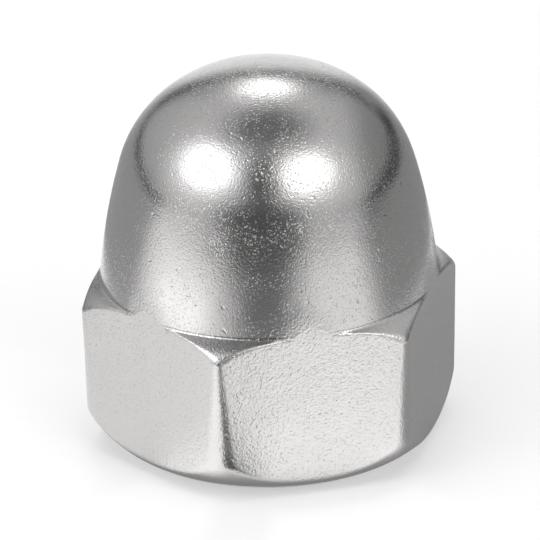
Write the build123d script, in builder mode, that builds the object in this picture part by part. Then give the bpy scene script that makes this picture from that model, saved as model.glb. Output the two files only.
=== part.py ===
from build123d import *
from math import asin, cos, degrees, radians, sin, sqrt, tan
import os

# A domed cap nut, size M8, forged in one piece in stainless steel. It stands on its bearing face.
# Origin: centre of the bearing face. +Z runs up the thread's axis to the crown of the dome.
# Two flats of the hexagon face +Y and -Y. Lengths are in millimetres and angles in degrees.

# Thread: M8 coarse. The bore has the thread's minor diameter, and the thread form is left out
thread_diameter = 8.0
thread_pitch = 1.25
minor_diameter_step = 1.082532

# Blind hole, from the mouth inwards: countersink, threaded length, relief groove, drill point
mouth_diameter = 8.6
countersink_angle = 120.0
thread_end = 7.9
relief_diameter = 8.3
relief_lead_angle = 90.0
hole_depth = 10.6
drill_point_angle = 120.0

# Hexagon: its corners are forged well rounded at the foot and nearly sharp at the top.
# Its height is taken at the middle of a flat, where the dome runs straight into the flat
across_flats = 13.0
hexagon_height = 6.55
corner_radius_foot = 1.25
corner_radius_top = 0.25
forged_edge_radius = 0.18

# Lands: the six crescents between the dome and the corners, which fall away outwards in a curve
land_slope = 15.0
land_curve_radius = 1.7

# Underside: a flat bearing ring, then a curved chamfer that rises to the flats and corners
chamfer_width = 0.7
chamfer_angle = 29.0
chamfer_curve_radius = 3.9
bearing_edge_radius = 0.25

# Dome: crown arc, shoulder arc, and a long flank arc that leads down to the lands.
# Its foot is a little wider than the hexagon across its flats, so the flats cut into it
height = 15.0
crown_radius = 7.2
crown_arc = 22.0
shoulder_radius = 5.1
shoulder_arc = 52.7
foot_overhang = 0.04
junction_radius = 0.25
junction_sink = 0.015
dome_root = 0.6

# Sizes and places that follow from the ones above
flat_radius = across_flats / 2
bearing_radius = flat_radius - chamfer_width
minor_radius = (thread_diameter - minor_diameter_step * thread_pitch) / 2
mouth_radius = mouth_diameter / 2
relief_radius = relief_diameter / 2
dome_foot_radius = flat_radius + foot_overhang
land_crest_radius = flat_radius - land_curve_radius * sin(radians(land_slope))
land_crest_height = hexagon_height + land_curve_radius * (1 - cos(radians(land_slope)))
land_centre_height = land_crest_height - land_curve_radius


def land_height(radius):
    """Height of the lands' curve at a distance from the axis."""
    return land_centre_height + sqrt(land_curve_radius**2 - (radius - land_crest_radius) ** 2)


def cone_height(wide_radius, narrow_radius, included_angle):
    """Height of a cone frustum between two radii, for the full angle of its cone."""
    return (wide_radius - narrow_radius) / tan(radians(included_angle / 2))


with BuildPart() as hexagon:
    # Six flat sides, joined by corners whose rounding tightens towards the top
    with BuildSketch(Plane.XY) as foot_outline:
        RegularPolygon(flat_radius, side_count=6, major_radius=False)
        fillet(foot_outline.vertices(), corner_radius_foot)
    with BuildSketch(Plane.XY.offset(land_crest_height)) as top_outline:
        RegularPolygon(flat_radius, side_count=6, major_radius=False)
        fillet(top_outline.vertices(), corner_radius_top)
    loft(ruled=True)

    # The turned envelope leaves the bearing ring and chamfer below and the lands above
    with BuildSketch(Plane.XZ):
        with BuildLine():
            bearing = Line((0, 0), (bearing_radius, 0))
            chamfer_start = (cos(radians(chamfer_angle)), sin(radians(chamfer_angle)))
            chamfer_curve = JernArc(bearing @ 1, chamfer_start, chamfer_curve_radius, 90 - chamfer_angle)
            land_curve = JernArc((land_crest_radius, land_crest_height), (1, 0), land_curve_radius, -90)
            Polyline(land_curve @ 0, (0, land_crest_height), (0, 0))
            Line(chamfer_curve @ 1, land_curve @ 1)
        make_face()
    revolve(axis=Axis.Z, mode=Mode.INTERSECT)

    # The forged edges all round the lands, the chamfer and the bearing ring are softened
    turned_faces = hexagon.faces().filter_by(GeomType.TORUS)
    fillet(turned_faces.edges().filter_by(GeomType.BSPLINE), forged_edge_radius)
    bearing_face = hexagon.faces().sort_by(Axis.Z)[0]
    fillet(bearing_face.edges(), bearing_edge_radius)

with BuildPart() as dome:
    # The skirt lies just under the lands, so that the fillet at the foot flows out onto them
    foot = (dome_foot_radius, land_height(dome_foot_radius) - junction_sink)
    skirt_slope = asin((dome_foot_radius - land_crest_radius) / land_curve_radius)
    skirt_arc = degrees(junction_radius / land_curve_radius)
    root_height = hexagon_height - dome_root
    with BuildSketch(Plane.XZ) as dome_section:
        with BuildLine():
            crown = JernArc((0, height), (1, 0), crown_radius, -crown_arc)
            shoulder = JernArc(crown @ 1, crown % 1, shoulder_radius, -shoulder_arc)
            TangentArc(shoulder @ 1, foot, tangent=shoulder % 1)
            skirt = JernArc(foot, (cos(skirt_slope), -sin(skirt_slope)), land_curve_radius, -skirt_arc)
            Polyline(skirt @ 1, ((skirt @ 1).X, root_height), (0, root_height), (0, height))
        make_face()
        fillet(dome_section.vertices().sort_by_distance(foot)[0], junction_radius)
    revolve(axis=Axis.Z)

    # The flats run up past the lands and cut shallow arches into the dome's foot
    with BuildSketch(Plane.XY.offset(root_height)):
        RegularPolygon(flat_radius, side_count=6, major_radius=False)
    extrude(amount=height, mode=Mode.INTERSECT)

with BuildPart() as cap_nut:
    add(hexagon.part)
    add(dome.part)

    # Blind hole with its countersink, relief groove and drill point
    countersink_top = cone_height(mouth_radius, minor_radius, countersink_angle)
    relief_start = thread_end + cone_height(relief_radius, minor_radius, relief_lead_angle)
    drill_point_top = hole_depth + cone_height(relief_radius, 0, drill_point_angle)
    with BuildSketch(Plane.XZ):
        with BuildLine():
            Polyline(
                (0, 0),
                (mouth_radius, 0),
                (minor_radius, countersink_top),
                (minor_radius, thread_end),
                (relief_radius, relief_start),
                (relief_radius, hole_depth),
                (0, drill_point_top),
                close=True,
            )
        make_face()
    revolve(axis=Axis.Z, mode=Mode.SUBTRACT)

cap_nut.part.label = "cap_nut"

os.makedirs("parts", exist_ok=True)
export_step(cap_nut.part, "parts/cap_nut.step")
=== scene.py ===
import math

import bmesh
import bpy
import numpy as np
from mathutils import Matrix, Vector, noise


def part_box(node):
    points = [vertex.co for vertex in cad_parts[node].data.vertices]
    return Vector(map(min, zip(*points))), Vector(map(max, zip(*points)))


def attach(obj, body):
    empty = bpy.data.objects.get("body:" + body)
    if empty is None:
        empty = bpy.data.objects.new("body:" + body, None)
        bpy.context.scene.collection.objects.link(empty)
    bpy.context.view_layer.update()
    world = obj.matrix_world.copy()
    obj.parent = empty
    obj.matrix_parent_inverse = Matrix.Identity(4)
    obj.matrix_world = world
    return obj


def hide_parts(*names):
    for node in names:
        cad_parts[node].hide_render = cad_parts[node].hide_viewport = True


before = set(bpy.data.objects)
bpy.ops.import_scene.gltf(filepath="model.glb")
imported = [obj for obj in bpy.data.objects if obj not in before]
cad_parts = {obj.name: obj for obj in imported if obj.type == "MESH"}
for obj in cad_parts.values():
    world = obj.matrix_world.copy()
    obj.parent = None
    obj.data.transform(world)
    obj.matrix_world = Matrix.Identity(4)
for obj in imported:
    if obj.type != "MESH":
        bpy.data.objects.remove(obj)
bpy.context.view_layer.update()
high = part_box("cap_nut")[1]

# Sizes of the nut in millimetres. The height and width come from the frame and the others repeat
# the solid, apart from the corners, which are rounded a little more at the foot. Their rounding
# tightens up to this share of the height of the lands' crest
MM = 0.001
HEIGHT = high[2] / MM
FLAT_RADIUS = high[1] / MM
HEXAGON_HEIGHT = 6.55
CORNER_RADIUS_FOOT = 1.45
CORNER_RADIUS_TOP = 0.25
CORNER_TAPER_END = 1.1
LAND_SLOPE = math.radians(15.0)
LAND_CURVE_RADIUS = 1.7
CHAMFER_WIDTH = 0.7
CHAMFER_ANGLE = math.radians(29.0)
CHAMFER_CURVE_RADIUS = 3.9
CROWN_RADIUS = 7.2
CROWN_ARC = math.radians(22.0)
SHOULDER_RADIUS = 5.1
SHOULDER_ARC = math.radians(52.7)
FOOT_OVERHANG = 0.04

# Rounding of the edges, finer than in the solid. It grows over the last stretch before a corner's tip
LAND_EDGE_RADIUS = 0.14
LAND_TIP_RADIUS = 0.55
FOOT_EDGE_RADIUS = 0.35
FOOT_TIP_RADIUS = 1.0
TIP_STRETCH = math.radians(12.0)
BEARING_EDGE_RADIUS = 0.25
JUNCTION_RADIUS = 0.16

# Thread and hole. The countersink and the drill point are cones with the same half angle
PITCH = 1.25
MAJOR_RADIUS = 4.0
MINOR_DIAMETER_STEP = 1.082532
MINOR_RADIUS = MAJOR_RADIUS - MINOR_DIAMETER_STEP * PITCH / 2
THREAD_ROOT_WIDTH = PITCH / 8
THREAD_HALF_ANGLE = math.radians(30.0)
THREAD_END = 7.9
MOUTH_RADIUS = 4.3
CONE_HALF_ANGLE = math.radians(60.0)
CONE_RUN = math.tan(CONE_HALF_ANGLE)
RELIEF_RADIUS = 4.15
HOLE_DEPTH = 10.6

# Columns of the mesh in half a side: wide ones on the flat, then two closer sets round the corner
FLAT_STRETCH = math.radians(24.5)
EDGE_STRETCH = math.radians(28.7)
FLAT_COLUMNS = 20
BEND_COLUMNS = 7
EDGE_COLUMNS = 5

# Rows of the mesh lie on rays from a point on the axis. Bands of closer rows reach this far above
# and below each edge, and the edges between side, land and chamfer are looked for in these ranges.
# The last row lies a narrow flat away from the hole's mouth
RAY_HEIGHT = 5.0
JUNCTION_BAND = np.radians([2.4, 2.0])
LAND_EDGE_BAND = np.radians([2.0, 2.0])
FOOT_EDGE_BAND = np.radians([3.0, 2.6])
BEARING_EDGE_BAND = np.radians([1.9, 2.2])
LEAST_BAND = math.radians(0.25)
LAND_EDGE_RANGE = np.radians([55.0, 88.0])
FOOT_EDGE_RANGE = np.radians([95.0, 128.0])
MOUTH_FLAT = 0.05

# How many rows each stretch of the outside and of the hole has
DOME_ROWS = 64
JUNCTION_ROWS = 12
LAND_ROWS = 6
LAND_EDGE_ROWS = 12
SIDE_ROWS = 16
FOOT_EDGE_ROWS = 12
CHAMFER_ROWS = 12
BEARING_EDGE_ROWS = 9
BEARING_ROWS = 4
ROWS_PER_TURN = 18
LEAD_ROWS = 6
RELIEF_ROWS = 8
POINT_ROWS = 11
SHARP_ANGLE = math.radians(38.0)

# Smallest differences that count, to keep clear of divisions by zero and doubled vertices
TINY = 1e-12
LEAST_SINE = 0.001
SAME_HEIGHT = 1e-6

# Waves and dents that forging and tumbling leave, in millimetres. The bearing ring has no dents
WAVE_SCALE = 0.45
WAVE_HEIGHT = 0.012
DENTS = 60
DENT_WIDTH = (0.18, 0.5)
DENT_DEPTH = (0.004, 0.014)
DENT_SEED = 8
DENT_FREE_ROWS = 20

# Where the flats' pitted finish lies. It fades over a blend, corners lose a part of it, and lands
# have a share of it, down to a drop below their crest and from a margin outside the dome
FLAT_BLEND = 0.12
CORNER_LOSS = 0.5
LAND_SHARE = 0.3
LAND_DROP = 1.0
DOME_MARGIN = 0.05

# Places that follow from the sizes above
SIDES = 6
SECTOR = 2 * math.pi / SIDES
TAN_HALF = math.tan(SECTOR / 2)
LAND_CREST_RADIUS = FLAT_RADIUS - LAND_CURVE_RADIUS * math.sin(LAND_SLOPE)
LAND_CREST_HEIGHT = HEXAGON_HEIGHT + LAND_CURVE_RADIUS * (1 - math.cos(LAND_SLOPE))
BEARING_RADIUS = FLAT_RADIUS - CHAMFER_WIDTH
DOME_FOOT_RADIUS = FLAT_RADIUS + FOOT_OVERHANG

# Steel: scales of its noises per metre, and heights in micrometres, for the dome and the flats
GRAIN_SCALE = 11000.0
MOTTLE_SCALE = 900.0
DOME_PIT_SCALE = 14000.0
FLAT_PIT_SCALE = 9500.0
NICK_SCALE = 3400.0
PIT_RANGE = (0.56, 0.78)
NICK_RANGE = (0.7, 0.82)
MOTTLE_RANGE = (0.3, 0.7)
CLUSTER_RANGE = (0.35, 0.65)
CLUSTER_SHARE = (0.4, 1.2)
MICROMETRE = 1e-6
GRAIN_HEIGHT = (7.0, 26.0)
DOME_PIT_DEPTH = 7.0
FLAT_PIT_DEPTH = 9.0
NICK_DEPTH = 9.0
DOME_ROUGHNESS = (0.13, 0.18)
FLAT_ROUGHNESS = (0.27, 0.35)

# Steel's colour lies between a dark and a light one: a share on the dome, and on the flats a share
# outside the pits and a darker one inside them, which is painted shade in the pits
DARK_STEEL = (0.5, 0.495, 0.49, 1.0)
LIGHT_STEEL = (0.7, 0.69, 0.685, 1.0)
DOME_LIGHTNESS = 0.8
FLAT_LIGHTNESS_AND_PIT_SHADE = (0.9, 0.72)

# Camera: the photograph's view
PHOTO_SIDE = 540
PIXELS_PER_METRE = 25891.0
CAMERA_AZIMUTH = math.radians(-14.0)
CAMERA_ELEVATION = math.radians(24.16)
CAMERA_ROLL = math.radians(-1.23)
CAMERA_DISTANCE = 0.3
CLIP_START = 0.01
TARGET_HEIGHT = 6.544 * MM
TARGET_SHIFT = 0.031 * MM

# Floor, lamp and tent. The tent's wall is lighter towards the eaves, and its ceiling is dark
WHITE = (1.0, 1.0, 1.0, 1.0)
FLOOR_COLOUR = (0.93, 0.93, 0.93, 1.0)
FLOOR_ROUGHNESS = 0.35
FLOOR_IOR = 1.45
FLOOR_GLOW = 0.4
FLOOR_GAP = 0.03 * MM
TOP_LAMP_POWER = 2.6
TOP_LAMP_SIZE = 0.8
TOP_LAMP_HEIGHT = 0.7
TENT_RADIUS = 0.9
WALL_LEVEL = 0.42
EAVES_LEVEL = 0.61
CEILING_LEVEL = 0.17
WALL_SLOPE = np.radians([5.0, 55.0])
CEILING_SLOPE = np.radians([57.0, 77.0])

# Painted shade and painted light on the floor, seen only in reflections, lie in thin layers. The flats
# mirror the floor out to about 24 mm, and the dome mirrors only what lies further off
PAINTED_PATCH_REACH = 0.88
FIRST_LAYER = 0.04 * MM
LAYER_GAP = 0.02 * MM
PAINTED_PATCH_STEPS = 48
FLATS_FLOOR = {"far": 0.024, "fade": 0.003}

# The dark rail that the dome mirrors as a thin line: azimuths and elevations of its points
RAIL_PATH = [
    (-86, 1), (-118, 7), (-150, 2), (-155, 13), (-163, 27),
    (180, 31), (163, 31), (154, 19), (140, 8),
]


def arc_point(centre, radius, angle):
    """Point of a circle in the section plane, at an angle from straight up."""
    return centre + radius * np.array([math.sin(angle), math.cos(angle)])


def dome_arcs():
    """Centres and radii of the crown, shoulder and flank arcs, and the angle where the flank starts."""
    crown = np.array([0.0, HEIGHT - CROWN_RADIUS])
    shoulder = arc_point(crown, CROWN_RADIUS - SHOULDER_RADIUS, CROWN_ARC)
    turn = CROWN_ARC + SHOULDER_ARC
    flank_top = arc_point(shoulder, SHOULDER_RADIUS, turn)
    run = np.array([DOME_FOOT_RADIUS, land_height(DOME_FOOT_RADIUS)]) - flank_top
    normal = np.array([math.sin(turn), math.cos(turn)])
    flank_radius = -run.dot(run) / (2 * run.dot(normal))
    flank = flank_top - flank_radius * normal
    return (crown, CROWN_RADIUS), (shoulder, SHOULDER_RADIUS), (flank, flank_radius), turn


def land_height(radius):
    """Height of the lands' curve at a distance from the axis."""
    drop = LAND_CURVE_RADIUS - math.sqrt(LAND_CURVE_RADIUS**2 - (radius - LAND_CREST_RADIUS) ** 2)
    return LAND_CREST_HEIGHT - drop


CROWN, SHOULDER, FLANK, FLANK_START = dome_arcs()


def circle_field(r, z, centre, radius):
    """Distance outside a circle in the section plane, and its direction."""
    dr, dz = r - centre[0], z - centre[1]
    away = np.hypot(dr, dz) + TINY
    return away - radius, dr / away, dz / away


def dome_field(r, z):
    """Distance outside the dome and its direction (radial, up)."""
    crown = circle_field(r, z, *CROWN)
    shoulder = circle_field(r, z, *SHOULDER)
    flank = circle_field(r, z, *FLANK)
    on_crown = np.arctan2(crown[1], crown[2]) < CROWN_ARC
    on_shoulder = np.arctan2(shoulder[1], shoulder[2]) < FLANK_START
    return [np.where(on_crown, a, np.where(on_shoulder, b, c)) for a, b, c in zip(crown, shoulder, flank)]


def quarter_field(r, z, centre, radius, up):
    """Distance outside a slab whose outer edge is a quarter circle, and its direction."""
    dr, dz = r - centre[0], up * (z - centre[1])
    out_r, out_z = np.maximum(dr, 0), np.maximum(dz, 0)
    away = np.hypot(out_r, out_z)
    inside = away < TINY
    along_r = np.where(inside, dr > dz, out_r / np.maximum(away, TINY))
    along_z = np.where(inside, dr <= dz, out_z / np.maximum(away, TINY))
    return away + np.minimum(np.maximum(dr, dz), 0) - radius, along_r, up * along_z


def land_field(r, z):
    """Distance above the lands' curve and its direction."""
    centre = (LAND_CREST_RADIUS, LAND_CREST_HEIGHT - LAND_CURVE_RADIUS)
    return quarter_field(r, z, centre, LAND_CURVE_RADIUS, 1)


def foot_field(r, z):
    """Distance outside the curved chamfer and its direction."""
    centre = (
        BEARING_RADIUS - CHAMFER_CURVE_RADIUS * math.sin(CHAMFER_ANGLE),
        CHAMFER_CURVE_RADIUS * math.cos(CHAMFER_ANGLE),
    )
    return quarter_field(r, z, centre, CHAMFER_CURVE_RADIUS, -1)


def corner_radius(z):
    """Radius of the hexagon's upright corners, which tightens towards the top."""
    share = np.clip(z / LAND_CREST_HEIGHT, 0.0, CORNER_TAPER_END)
    return CORNER_RADIUS_FOOT + (CORNER_RADIUS_TOP - CORNER_RADIUS_FOOT) * share


def side_field(r, z, turn):
    """Distance outside the rounded hexagon, at an angle from the middle of a flat, and the part of
    its direction that is along the radius."""
    radius = corner_radius(z)
    cosine, sine = np.cos(turn), np.sin(np.abs(turn))
    x, y = r * cosine, r * sine
    dx, dy = x - (FLAT_RADIUS - radius), y - (FLAT_RADIUS - radius) * TAN_HALF
    away = np.hypot(dx, dy) + TINY
    distance = np.where(dy > 0, away - radius, x - FLAT_RADIUS)
    return distance, np.where(dy > 0, (dx * cosine + dy * sine) / away, cosine)


def round_corner(a, b, cosine, radius):
    """Where two solids cross, with the outer edge between them rounded to a true arc."""
    sine = np.sqrt(np.maximum(1 - cosine**2, LEAST_SINE**2))
    alpha, beta = a + radius, b + radius
    on_arc = (alpha > beta * cosine) & (beta > alpha * cosine)
    spread = np.sqrt(np.maximum(alpha**2 + beta**2 - 2 * alpha * beta * cosine, 0.0)) / sine
    return np.where(on_arc, spread - radius, np.maximum(a, b))


def round_hollow(a, b, cosine, radius):
    """Where two solids join, with the inner corner between them filled to a true arc."""
    return -round_corner(-a, -b, cosine, radius)


def nut_field(r, z, turn):
    """Signed distance to the outside of the nut, in millimetres."""
    dome, dome_r, dome_z = dome_field(r, z)
    land, land_r, land_z = land_field(r, z)
    side, side_r = side_field(r, z, turn)
    foot, foot_r, foot_z = foot_field(r, z)
    top = round_hollow(dome, land, dome_r * land_r + dome_z * land_z, JUNCTION_RADIUS)
    top_r = np.where(dome < land, dome_r, land_r)
    nearness = np.clip(1 - (SECTOR / 2 - np.abs(turn)) / TIP_STRETCH, 0, 1) ** 2
    land_edge = LAND_EDGE_RADIUS + (LAND_TIP_RADIUS - LAND_EDGE_RADIUS) * nearness
    foot_edge = FOOT_EDGE_RADIUS + (FOOT_TIP_RADIUS - FOOT_EDGE_RADIUS) * nearness
    body = round_corner(top, side, top_r * side_r, land_edge)
    body = round_corner(body, foot, side_r * foot_r, foot_edge)
    return round_corner(body, -z, -foot_z, BEARING_EDGE_RADIUS)


def ray_hit(polar, turn, field, near=2.0, far=12.0, steps=40):
    """Points (radius, height) where rays from the nut's middle leave it, by bisection."""
    sine, cosine = np.sin(polar), np.cos(polar)
    inner, outer = np.full(polar.shape, near), np.full(polar.shape, far)
    for _ in range(steps):
        middle = (inner + outer) / 2
        outside = field(middle * sine, RAY_HEIGHT + middle * cosine, turn) > 0
        inner, outer = np.where(outside, inner, middle), np.where(outside, middle, outer)
    return inner * sine, RAY_HEIGHT + inner * cosine


def side_hit(polar, turn):
    """Points where rays meet the hexagon's side, as if it went on up and down."""
    return ray_hit(polar, turn, lambda r, z, turn: side_field(r, z, turn)[0])


def side_leads(polar, turn):
    """True where a ray meets the hexagon's side before the dome and lands."""
    r, z = side_hit(polar, turn)
    return np.minimum(dome_field(r, z)[0], land_field(r, z)[0]) < 0


def foot_leads(polar, turn):
    """True where a ray meets the chamfer before the hexagon's side."""
    r, z = side_hit(polar, turn)
    return foot_field(r, z)[0] > 0


def first_change(rule, turn, start, stop, samples=1200):
    """For each column, the polar angle at which a rule about the section first turns true."""
    polar = np.linspace(start, stop, samples)[:, None] + np.zeros_like(turn)[None]
    state = rule(polar, turn[None] + np.zeros_like(polar))
    return polar[np.argmax(state, axis=0), 0]


def column_angles():
    """Angles of the mesh's columns, counted from -Y, closest together at the corners."""
    middle = np.linspace(0, FLAT_STRETCH, FLAT_COLUMNS, endpoint=False)
    bend = np.linspace(FLAT_STRETCH, EDGE_STRETCH, BEND_COLUMNS, endpoint=False)
    edge = np.linspace(EDGE_STRETCH, SECTOR / 2, EDGE_COLUMNS, endpoint=False)
    right = np.concatenate([middle, bend, edge, [SECTOR / 2]])
    one = np.concatenate([right, SECTOR - right[-2:0:-1]])
    return np.concatenate([one + side * SECTOR for side in range(SIDES)])


def outer_rows(turn):
    """Polar angles of the rows for each column. Rows gather at every edge and follow it."""
    edge = first_change(side_leads, turn, *LAND_EDGE_RANGE)
    low_edge = first_change(foot_leads, turn, *FOOT_EDGE_RANGE)
    junction = math.atan2(DOME_FOOT_RADIUS, land_height(DOME_FOOT_RADIUS) - RAY_HEIGHT)
    junction = np.minimum(junction, edge - 4 * LEAST_BAND)
    middle = (junction + edge) / 2
    ring = np.full_like(turn, math.pi - math.atan2(BEARING_RADIUS, RAY_HEIGHT))
    mouth = np.full_like(turn, math.pi - math.atan2(MOUTH_RADIUS + MOUTH_FLAT, RAY_HEIGHT))
    stops = [
        (junction - JUNCTION_BAND[0], DOME_ROWS),
        (np.minimum(junction + JUNCTION_BAND[1], middle - LEAST_BAND / 2), JUNCTION_ROWS),
        (np.maximum(edge - LAND_EDGE_BAND[0], middle + LEAST_BAND / 2), LAND_ROWS),
        (edge + LAND_EDGE_BAND[1], LAND_EDGE_ROWS),
        (low_edge - FOOT_EDGE_BAND[0], SIDE_ROWS),
        (low_edge + FOOT_EDGE_BAND[1], FOOT_EDGE_ROWS),
        (ring - BEARING_EDGE_BAND[0], CHAMFER_ROWS),
        (ring + BEARING_EDGE_BAND[1], BEARING_EDGE_ROWS),
        (mouth, BEARING_ROWS),
    ]
    start, rows = np.zeros_like(turn), []
    for stop, count in stops:
        rows += [start + (stop - start) * step / count for step in range(1, count + 1)]
        start = stop
    return np.array(rows)


def surface_point(r, z, angles):
    """Places in millimetres for distances from the axis, heights and angles from -Y."""
    return np.stack([r * np.sin(angles), -r * np.cos(angles), z], axis=-1)


def surface_wear(points):
    """How far forging and tumbling have moved the surface, in millimetres: waves and small dents."""
    rows, columns = points.shape[:2]
    waves = np.array([noise.noise(Vector(point) * WAVE_SCALE) for point in points.reshape(-1, 3)])
    move = WAVE_HEIGHT * waves.reshape(rows, columns)
    rng = np.random.default_rng(DENT_SEED)
    for _ in range(DENTS):
        row, column = rng.integers(rows - DENT_FREE_ROWS), rng.integers(columns)
        width, depth = rng.uniform(*DENT_WIDTH), rng.uniform(*DENT_DEPTH)
        away = ((points - points[row, column]) ** 2).sum(axis=-1)
        move -= depth * np.exp(-away / width**2)
    return move


def flat_share(r, z, turn):
    """How much of the flats' pitted finish a point has: all on a flat, some on a corner or a land."""
    on_side = np.clip(1 + side_field(r, z, turn)[0] / FLAT_BLEND, 0, 1)
    corner_start = (FLAT_RADIUS - corner_radius(z)) * TAN_HALF
    on_corner = np.clip((r * np.sin(np.abs(turn)) - corner_start) / FLAT_BLEND, 0, 1)
    on_land = np.clip(1 + land_field(r, z)[0] / FLAT_BLEND, 0, 1)
    on_land *= (z > LAND_CREST_HEIGHT - LAND_DROP) & (dome_field(r, z)[0] > DOME_MARGIN)
    return np.maximum(on_side * (1 - CORNER_LOSS * on_corner), LAND_SHARE * on_land)


def outer_grid(angles):
    """Points (rows x columns x 3) of the outside, from just below the crown to the bearing ring, and
    each point's share of the flats' finish."""
    turn = (angles + SECTOR / 2) % SECTOR - SECTOR / 2
    polar = outer_rows(turn)
    r, z = ray_hit(polar, turn[None] + np.zeros_like(polar), nut_field)
    wear = surface_wear(surface_point(r, z, angles))
    r, z = r + wear * np.sin(polar), z + wear * np.cos(polar)
    z[-1] = 0.0
    return surface_point(r, z, angles), flat_share(r, z, turn)


def thread_radius(phase):
    """Radius of the nut's thread, where phase counts turns from the middle of a crest."""
    from_root = abs(phase % 1 - 0.5) * PITCH
    depth = (from_root - THREAD_ROOT_WIDTH / 2) / math.tan(THREAD_HALF_ANGLE)
    return float(np.clip(MAJOR_RADIUS - depth, MINOR_RADIUS, MAJOR_RADIUS))


def bore_radius(z, angle):
    """Radius of the hole at a height: countersink, thread, relief groove and drill point."""
    if z < HOLE_DEPTH:
        countersink = MOUTH_RADIUS - z * CONE_RUN
        relief = min(RELIEF_RADIUS, MINOR_RADIUS + z - THREAD_END)
        thread = thread_radius(z / PITCH - angle / (2 * math.pi)) if z <= THREAD_END else 0.0
        return max(countersink, thread, relief)
    return max(RELIEF_RADIUS - (z - HOLE_DEPTH) * CONE_RUN, 0.0)


def bore_point(z, angle):
    """A point of the hole's wall, in metres."""
    r = bore_radius(z, angle)
    return (r * math.sin(angle) * MM, -r * math.cos(angle) * MM, z * MM)


def thread_run(mesh, angle, climb):
    """A column of vertices up the threaded length. Rows that fall on one height share a vertex."""
    heights = np.clip((climb + angle / (2 * math.pi)) * PITCH, 0.0, THREAD_END)
    run, last = [], -1.0
    for z in heights:
        if z - last > SAME_HEIGHT:
            vert = mesh.verts.new(bore_point(z, angle))
            last = z
        run.append(vert)
    return run


def add_bore(mesh, rim, angles):
    """Builds the hole upwards from every second vertex of the rim. Its rows climb with the thread."""
    columns = angles[::2]
    turns = int(THREAD_END / PITCH) + 2
    climb = np.arange(turns * ROWS_PER_TURN + 1) / ROWS_PER_TURN - 1
    runs = [thread_run(mesh, angle, climb) for angle in columns]
    a_turn_on = runs[0][ROWS_PER_TURN:] + runs[0][-1:] * ROWS_PER_TURN
    for left, right in zip(runs, runs[1:] + [a_turn_on]):
        for row in range(len(left) - 1):
            corners = [left[row], left[row + 1], right[row + 1], right[row]]
            corners = list(dict.fromkeys(corners))
            if len(corners) > 2:
                mesh.faces.new(corners)
    for column, (run, following) in enumerate(zip(runs, runs[1:] + runs[:1])):
        here, between, there = rim[2 * column], rim[2 * column + 1], rim[(2 * column + 2) % len(rim)]
        mesh.faces.new([here, run[0], following[0], there, between])

    # Relief groove with its lead, and the drill point
    lead_top = THREAD_END + RELIEF_RADIUS - MINOR_RADIUS
    tip = HOLE_DEPTH + RELIEF_RADIUS / CONE_RUN
    heights = np.concatenate([
        np.linspace(THREAD_END, lead_top, LEAD_ROWS + 1)[1:],
        np.linspace(lead_top, HOLE_DEPTH, RELIEF_ROWS + 1)[1:],
        np.linspace(HOLE_DEPTH, tip, POINT_ROWS + 1)[1:-1],
    ])
    ring = [run[-1] for run in runs]
    for z in heights:
        ring = add_ring(mesh, ring, [bore_point(z, angle) for angle in columns])
    close_ring(mesh, ring, (0.0, 0.0, tip * MM), False)


def add_ring(mesh, ring, points):
    """Adds the next ring of vertices, joined to the last one by faces."""
    following = [mesh.verts.new(point) for point in points]
    for column in range(len(ring)):
        right = (column + 1) % len(ring)
        mesh.faces.new((ring[column], following[column], following[right], ring[right]))
    return following


def close_ring(mesh, ring, tip, above):
    """Closes a ring with a fan of triangles to one point, which lies before or after it."""
    centre = mesh.verts.new(tip)
    for column in range(len(ring)):
        right = (column + 1) % len(ring)
        pair = (ring[column], ring[right]) if above else (ring[right], ring[column])
        mesh.faces.new((centre, *pair))


def build_nut():
    """The nut as one closed mesh: the forged outside and the threaded hole."""
    angles = column_angles()
    grid, flat = outer_grid(angles)
    grid = grid * MM
    mesh = bmesh.new()
    share = mesh.verts.layers.float.new("flat_share")
    ring = [mesh.verts.new(point) for point in grid[0]]
    close_ring(mesh, ring, (0.0, 0.0, HEIGHT * MM), True)
    for row, flat_row in zip(grid[1:], flat[1:]):
        ring = add_ring(mesh, ring, row)
        for vert, value in zip(ring, flat_row):
            vert[share] = value
    add_bore(mesh, ring, angles)
    data = bpy.data.meshes.new("nut_body")
    mesh.to_mesh(data)
    mesh.free()
    data.polygons.foreach_set("use_smooth", [True] * len(data.polygons))
    data.set_sharp_from_angle(angle=SHARP_ANGLE)
    nut = bpy.data.objects.new("nut_body", data)
    bpy.context.collection.objects.link(nut)
    return nut


def new_material(name):
    """A material with an empty node tree."""
    material = bpy.data.materials.new(name)
    material.use_nodes = True
    material.node_tree.nodes.clear()
    return material


def add_node(tree, kind, inputs=None, **settings):
    """Adds a node with its settings, and values or links for its inputs."""
    node = tree.nodes.new(kind)
    for name, value in settings.items():
        setattr(node, name, value)
    for name, value in (inputs or {}).items():
        socket = node.inputs[name]
        if isinstance(value, bpy.types.NodeSocket):
            tree.links.new(value, socket)
        else:
            socket.default_value = value
    return node


def add_math(tree, operation, first, second=0.0):
    """A sum, product or other operation of two values or sockets."""
    return add_node(tree, "ShaderNodeMath", {0: first, 1: second}, operation=operation).outputs[0]


def map_range(tree, value, low_in, high_in, low_out, high_out, kind="LINEAR"):
    """A value moved from one range to another."""
    inputs = {"Value": value, "From Min": low_in, "From Max": high_in, "To Min": low_out, "To Max": high_out}
    return add_node(tree, "ShaderNodeMapRange", inputs, interpolation_type=kind).outputs["Result"]


def mix_value(tree, share, first, second):
    """A blend of two values or sockets."""
    inputs = {"Factor": share, "A": first, "B": second}
    return add_node(tree, "ShaderNodeMix", inputs, data_type="FLOAT").outputs["Result"]


def mix_shader(tree, share, first, second):
    """A blend of two shaders."""
    return add_node(tree, "ShaderNodeMixShader", {0: share, 1: first, 2: second}).outputs[0]


def end_material(tree, surface):
    """Joins the last shader to the material's surface."""
    add_node(tree, "ShaderNodeOutputMaterial", {"Surface": surface})


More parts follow.
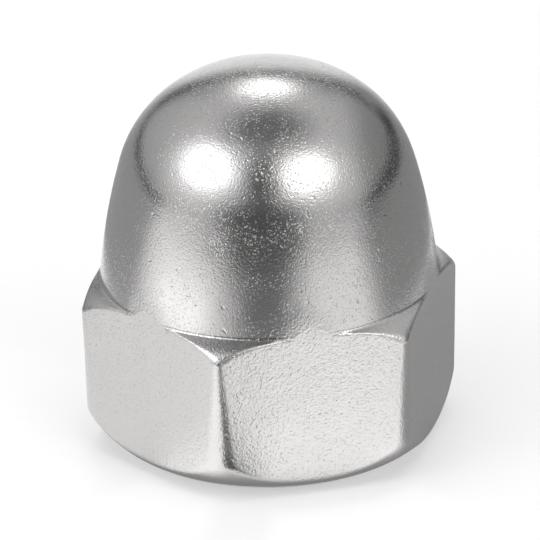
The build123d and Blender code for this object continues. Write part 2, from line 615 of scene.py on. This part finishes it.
def add_glow(tree, colour, strength=1.0):
    """A plain glow, where 1 is white."""
    return add_node(tree, "ShaderNodeEmission", {"Color": colour, "Strength": strength}).outputs[0]


def add_clear(tree):
    """A shader that lets everything through."""
    return add_node(tree, "ShaderNodeBsdfTransparent").outputs[0]


def grey(level):
    """A grey of a level, where 1 is white."""
    return (level, level, level, 1.0)


def add_noise(tree, place, scale, detail, roughness=0.5):
    """Noise over a place, with its scale per metre."""
    inputs = {"Vector": place, "Scale": scale, "Detail": detail, "Roughness": roughness}
    return add_node(tree, "ShaderNodeTexNoise", inputs).outputs["Fac"]


def add_pits(tree, place, scale, start, stop):
    """Ragged pits where a fine noise is high: 0 up to its start value, and 1 from its stop value on."""
    specks = add_noise(tree, place, scale, detail=1.0)
    return map_range(tree, specks, start, stop, 0.0, 1.0, "SMOOTHSTEP")


def steel_material():
    """Tumbled stainless steel: a satin dome with a fine grain, and rougher, pitted flats."""
    material = new_material("stainless_steel")
    tree = material.node_tree
    place = add_node(tree, "ShaderNodeTexCoord").outputs["Object"]
    flat = add_node(tree, "ShaderNodeAttribute", attribute_name="flat_share").outputs["Fac"]
    grain = add_noise(tree, place, GRAIN_SCALE, detail=2.0, roughness=0.6)
    mottle = add_noise(tree, place, MOTTLE_SCALE, detail=4.0)

    # Pits and nicks. On the dome the pits gather in clusters
    dome_pits = add_pits(tree, place, DOME_PIT_SCALE, *PIT_RANGE)
    clusters = map_range(tree, mottle, *CLUSTER_RANGE, *CLUSTER_SHARE)
    dome_pits = add_math(tree, "MULTIPLY", dome_pits, clusters)
    flat_pits = add_pits(tree, place, FLAT_PIT_SCALE, *PIT_RANGE)
    nicks = add_pits(tree, place, NICK_SCALE, *NICK_RANGE)

    # Relief: the grain, less the pits and nicks
    dome_depth = add_math(tree, "MULTIPLY", dome_pits, DOME_PIT_DEPTH)
    flat_depth = add_math(tree, "MULTIPLY", flat_pits, FLAT_PIT_DEPTH)
    nick_depth = add_math(tree, "MULTIPLY", nicks, NICK_DEPTH)
    height = add_math(tree, "MULTIPLY", grain, mix_value(tree, flat, *GRAIN_HEIGHT))
    height = add_math(tree, "SUBTRACT", height, mix_value(tree, flat, dome_depth, flat_depth))
    height = add_math(tree, "SUBTRACT", height, nick_depth)
    bump = add_node(tree, "ShaderNodeBump", {"Height": height, "Strength": 1.0, "Distance": MICROMETRE})

    # Roughness and colour. The flats' colour is darker inside their pits: painted shade in the pits
    dome_rough = map_range(tree, mottle, *MOTTLE_RANGE, *DOME_ROUGHNESS)
    flat_rough = map_range(tree, mottle, *MOTTLE_RANGE, *FLAT_ROUGHNESS)
    rough = mix_value(tree, flat, dome_rough, flat_rough)
    lightness = mix_value(tree, flat, DOME_LIGHTNESS, mix_value(tree, flat_pits, *FLAT_LIGHTNESS_AND_PIT_SHADE))
    colours = {"Factor": lightness, 6: DARK_STEEL, 7: LIGHT_STEEL}
    colour = add_node(tree, "ShaderNodeMix", colours, data_type="RGBA").outputs[2]
    shader = add_node(tree, "ShaderNodeBsdfPrincipled", {
        "Base Color": colour, "Metallic": 1.0, "Roughness": rough, "Normal": bump.outputs["Normal"]})
    end_material(tree, shader.outputs["BSDF"])
    return material


def direction(azimuth, elevation):
    """Unit vector towards a place seen from the nut, azimuth counted from the camera to its right."""
    turn = CAMERA_AZIMUTH + azimuth
    flat = math.cos(elevation)
    return Vector((math.sin(turn) * flat, -math.cos(turn) * flat, math.sin(elevation)))


def make_camera():
    """Camera at the photograph's viewing angle, with a long lens."""
    back = direction(0.0, CAMERA_ELEVATION)
    right = direction(math.pi / 2, 0.0)
    up = back.cross(right)
    roll = Matrix.Rotation(CAMERA_ROLL, 3, back)
    right, up = roll @ right, roll @ up
    camera = bpy.data.objects.new("camera", bpy.data.cameras.new("camera"))
    camera.data.lens = camera.data.sensor_width * PIXELS_PER_METRE * CAMERA_DISTANCE / PHOTO_SIDE
    camera.data.clip_start = CLIP_START
    place = Vector((0, 0, TARGET_HEIGHT)) + CAMERA_DISTANCE * back + TARGET_SHIFT * right
    camera.matrix_world = Matrix.Translation(place) @ Matrix((right, up, back)).transposed().to_4x4()
    bpy.context.collection.objects.link(camera)
    bpy.context.scene.camera = camera


def stage_object(name, mesh, material):
    """Adds a mesh to the stage with its material."""
    data = bpy.data.meshes.new(name)
    mesh.to_mesh(data)
    mesh.free()
    data.materials.append(material)
    item = bpy.data.objects.new(name, data)
    bpy.context.collection.objects.link(item)
    return item


def leave_to_mirrors(item, material):
    """Takes a piece of the stage out of the view, the soft light and the shadows."""
    item.visible_camera = False
    item.visible_diffuse = False
    item.visible_shadow = False
    material.cycles.emission_sampling = "NONE"


def seen_rays(tree):
    """1 for rays from the camera, a mirror or glass, which see the plain background."""
    path = add_node(tree, "ShaderNodeLightPath").outputs
    seen = add_math(tree, "MAXIMUM", path["Is Camera Ray"], path["Is Glossy Ray"])
    return add_math(tree, "MAXIMUM", seen, path["Is Transmission Ray"])


def make_floor():
    """White floor, clear from below. Part of its white is its own glow, so that the nut's shadow
    stays light."""
    material = new_material("floor_white")
    tree = material.node_tree
    paint = add_node(tree, "ShaderNodeBsdfPrincipled", {
        "Base Color": FLOOR_COLOUR, "Roughness": FLOOR_ROUGHNESS, "IOR": FLOOR_IOR}).outputs["BSDF"]
    glow_share = add_math(tree, "MULTIPLY", seen_rays(tree), FLOOR_GLOW)
    white = mix_shader(tree, glow_share, paint, add_glow(tree, WHITE))
    under = add_node(tree, "ShaderNodeNewGeometry").outputs["Backfacing"]
    end_material(tree, mix_shader(tree, under, white, add_clear(tree)))
    mesh = bmesh.new()
    bmesh.ops.create_circle(mesh, cap_ends=True, segments=96, radius=TENT_RADIUS)
    floor = stage_object("floor", mesh, material)
    floor.location.z = -FLOOR_GAP


def make_tent():
    """Grey walls and a darker ceiling round the nut, seen only by light and reflections."""
    material = new_material("tent_cloth")
    tree = material.node_tree
    place = add_node(tree, "ShaderNodeTexCoord").outputs["Object"]
    height = add_node(tree, "ShaderNodeSeparateXYZ", {"Vector": place}).outputs["Z"]
    slope = add_math(tree, "ARCSINE", add_math(tree, "DIVIDE", height, TENT_RADIUS))
    wall = map_range(tree, slope, *WALL_SLOPE, WALL_LEVEL, EAVES_LEVEL)
    level = map_range(tree, slope, *CEILING_SLOPE, wall, CEILING_LEVEL)
    end_material(tree, add_glow(tree, WHITE, level))
    mesh = bmesh.new()
    bmesh.ops.create_uvsphere(mesh, u_segments=64, v_segments=48, radius=TENT_RADIUS)
    under = [vert for vert in mesh.verts if vert.co.z < -FLOOR_GAP]
    bmesh.ops.delete(mesh, geom=under, context="VERTS")
    material.cycles.emission_sampling = "NONE"
    tent = stage_object("tent", mesh, material)
    tent.visible_camera = False


def make_card(name, at, size, colour, softness=1.0, distance=0.6):
    """An oval card that faces the nut and fades out towards its edge. It lies at an azimuth and an
    elevation, and has a width and a height, all in degrees."""
    material = new_material(name)
    tree = material.node_tree
    place = add_node(tree, "ShaderNodeTexCoord").outputs["Object"]
    radial = add_node(tree, "ShaderNodeTexGradient", {"Vector": place}, gradient_type="SPHERICAL")
    fade = map_range(tree, radial.outputs["Fac"], 0.0, softness, 0.0, 1.0, "SMOOTHSTEP")
    end_material(tree, mix_shader(tree, fade, add_clear(tree), add_glow(tree, colour)))
    mesh = bmesh.new()
    bmesh.ops.create_circle(mesh, cap_ends=True, segments=64, radius=1.0)
    card = stage_object(name, mesh, material)
    towards = direction(*(math.radians(angle) for angle in at))
    turn = towards.to_track_quat("Z", "Y").to_matrix().to_4x4()
    half_width, half_height = (distance * math.tan(math.radians(angle / 2)) for angle in size)
    stretch = Matrix.Diagonal((half_width, half_height, 1, 1))
    card.matrix_world = Matrix.Translation(towards * distance) @ turn @ stretch
    card.visible_camera = False


def make_painted_floor_patch(layer, name, start, stop, level, softness, near, far=PAINTED_PATCH_REACH, fade=0.02):
    """A patch of painted shade or painted light on the floor, between two azimuths in degrees and two
    distances in metres. It is seen only in reflections, and is soft at its sides and its far end."""
    material = new_material(name)
    tree = material.node_tree
    half = math.radians((stop - start) / 2)
    soft = math.radians(softness / 2)
    place = add_node(tree, "ShaderNodeTexCoord").outputs["Object"]
    split = add_node(tree, "ShaderNodeSeparateXYZ", {"Vector": place}).outputs
    aside = add_math(tree, "ABSOLUTE", add_math(tree, "ARCTAN2", split["X"], split["Y"]))
    across = map_range(tree, aside, half - soft, half + soft, 1.0, 0.0, "SMOOTHSTEP")
    reach = add_node(tree, "ShaderNodeVectorMath", {0: place}, operation="LENGTH").outputs["Value"]
    along = map_range(tree, reach, far - fade, far, 1.0, 0.0, "SMOOTHSTEP")
    share = add_math(tree, "MULTIPLY", across, along)
    end_material(tree, mix_shader(tree, share, add_clear(tree), add_glow(tree, grey(level))))
    mesh = bmesh.new()
    turns = np.linspace(-half - soft, half + soft, PAINTED_PATCH_STEPS + 1)
    inner, outer = ([mesh.verts.new((size * math.sin(t), size * math.cos(t), 0)) for t in turns]
                    for size in (near, far))
    for step in range(PAINTED_PATCH_STEPS):
        mesh.faces.new((inner[step], inner[step + 1], outer[step + 1], outer[step]))
    painted_patch = stage_object(name, mesh, material)
    towards = direction(math.radians((start + stop) / 2), 0)
    turn = Matrix.Rotation(math.atan2(-towards.x, towards.y), 4, "Z")
    painted_patch.matrix_world = Matrix.Translation((0, 0, FIRST_LAYER + layer * LAYER_GAP)) @ turn
    leave_to_mirrors(painted_patch, material)


def make_rail(name, path, level, radius, distance=0.5):
    """A dark rail round the nut along azimuths and elevations, seen only in reflections."""
    material = new_material(name)
    tree = material.node_tree
    end_material(tree, add_glow(tree, grey(level)))
    data = bpy.data.curves.new(name, "CURVE")
    data.dimensions = "3D"
    data.bevel_depth = distance * math.tan(math.radians(radius))
    spline = data.splines.new("NURBS")
    spline.points.add(len(path) - 1)
    for point, (azimuth, elevation) in zip(spline.points, path):
        point.co = (*(direction(math.radians(azimuth), math.radians(elevation)) * distance), 1)
    spline.order_u = 3
    spline.use_endpoint_u = True
    data.materials.append(material)
    rail = bpy.data.objects.new(name, data)
    bpy.context.collection.objects.link(rail)
    leave_to_mirrors(rail, material)


def make_top_lamp():
    """Soft lamp straight above, which whitens the floor and isn't mirrored in the steel."""
    data = bpy.data.lights.new("top_lamp", "AREA")
    data.shape = "DISK"
    data.size = TOP_LAMP_SIZE
    data.energy = TOP_LAMP_POWER
    lamp = bpy.data.objects.new("top_lamp", data)
    lamp.location = (0, 0, TOP_LAMP_HEIGHT)
    bpy.context.collection.objects.link(lamp)
    lamp.visible_camera = False
    lamp.visible_glossy = False


def make_world():
    """World that is white where it is seen, and a soft grey where it only lights."""
    world = bpy.data.worlds.new("world")
    bpy.context.scene.world = world
    world.use_nodes = True
    tree = world.node_tree
    background = tree.nodes["Background"]
    strength = map_range(tree, seen_rays(tree), 0.0, 1.0, WALL_LEVEL, 1.0)
    tree.links.new(strength, background.inputs["Strength"])
    background.inputs["Color"].default_value = WHITE


nut = build_nut()
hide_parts("cap_nut")
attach(nut, "root")
nut.data.materials.append(steel_material())

make_camera()
make_floor()
make_tent()
make_top_lamp()

# Cards: two softboxes with their spill, dark cloths by the camera and behind, and a light at the back
make_card("left_spill", at=(-64, 34), size=(92, 84), colour=grey(0.92), distance=0.7)
make_card("right_spill", at=(48, 36), size=(86, 80), colour=grey(0.84), distance=0.7)
make_card("camera_side_low", at=(-6, 5), size=(86, 54), colour=grey(0.09), softness=0.7, distance=0.66)
make_card("camera_side_high", at=(-5, 40), size=(34, 78), colour=grey(0.1), softness=0.8, distance=0.65)
make_card("left_softbox", at=(-63, 42), size=(61, 46), colour=(3.4, 3.4, 3.45, 1.0))
make_card("right_softbox", at=(40, 42), size=(54, 44), colour=(3.45, 3.4, 3.35, 1.0))
make_card("back_light", at=(180, 48), size=(30, 24), colour=grey(3.8))
make_card("back_left_cloth", at=(-157, 14), size=(26, 76), colour=grey(0.27), distance=0.72)
make_card("back_right_cloth", at=(156, 14), size=(28, 76), colour=grey(0.27), distance=0.72)
make_card("back_board", at=(180, 4), size=(38, 46), colour=grey(0.95), softness=0.4, distance=0.55)
make_card("right_wall", at=(120, 14), size=(90, 60), colour=grey(0.28), softness=0.7, distance=0.7)
make_card("side_flag", at=(119, 0), size=(102, 26), colour=grey(0.06), softness=0.3)

# Painted shade and painted light on the floor, seen only in reflections: the far ones are mirrored in the
# dome, the near ones in the flats and corners. The dark ones are painted floor shade, and the glows are
# painted pools of light
painted_floor_patches = [
    dict(name="front_far_painted_shade", start=-25, stop=18, level=0.19, softness=30, near=0.025),
    dict(name="left_far_glow", start=-76, stop=-42, level=1.5, softness=16, near=0.026, far=0.1, fade=0.06),
    dict(name="right_far_painted_shade", start=68, stop=165, level=0.3, softness=20, near=0.025),
    dict(name="left_far_painted_shade", start=-165, stop=-91, level=0.36, softness=20, near=0.022),
    dict(name="left_near_glow", start=-128, stop=-52, level=0.93, softness=10, near=0.0076,
         far=0.023, fade=0.003),
    dict(name="corner_near_glow", start=-48, stop=-18, level=1.32, softness=8, near=0.0066, **FLATS_FLOOR),
    dict(name="front_near_glow", start=-1, stop=46, level=1.3, softness=5, near=0.0076, **FLATS_FLOOR),
    dict(name="corner_near_painted_shade", start=-16, stop=1, level=0.11, softness=4, near=0.0078, **FLATS_FLOOR),
    # Painted shadow of the nut on the floor to its right, seen in the steel
    dict(name="right_near_painted_shadow", start=50, stop=165, level=0.37, softness=8, near=0.0061, **FLATS_FLOOR),
    # Painted contact shadow round the nut's foot, seen in the steel
    dict(name="foot_painted_shadow", start=-182, stop=182, level=0.28, softness=1, near=0.0056,
         far=0.0074, fade=0.0012),
]
for layer, painted_patch in enumerate(painted_floor_patches):
    make_painted_floor_patch(layer, **painted_patch)

make_rail("far_rail", RAIL_PATH, level=0.01, radius=2.3)
make_world()
bpy.context.scene.view_settings.view_transform = "Standard"
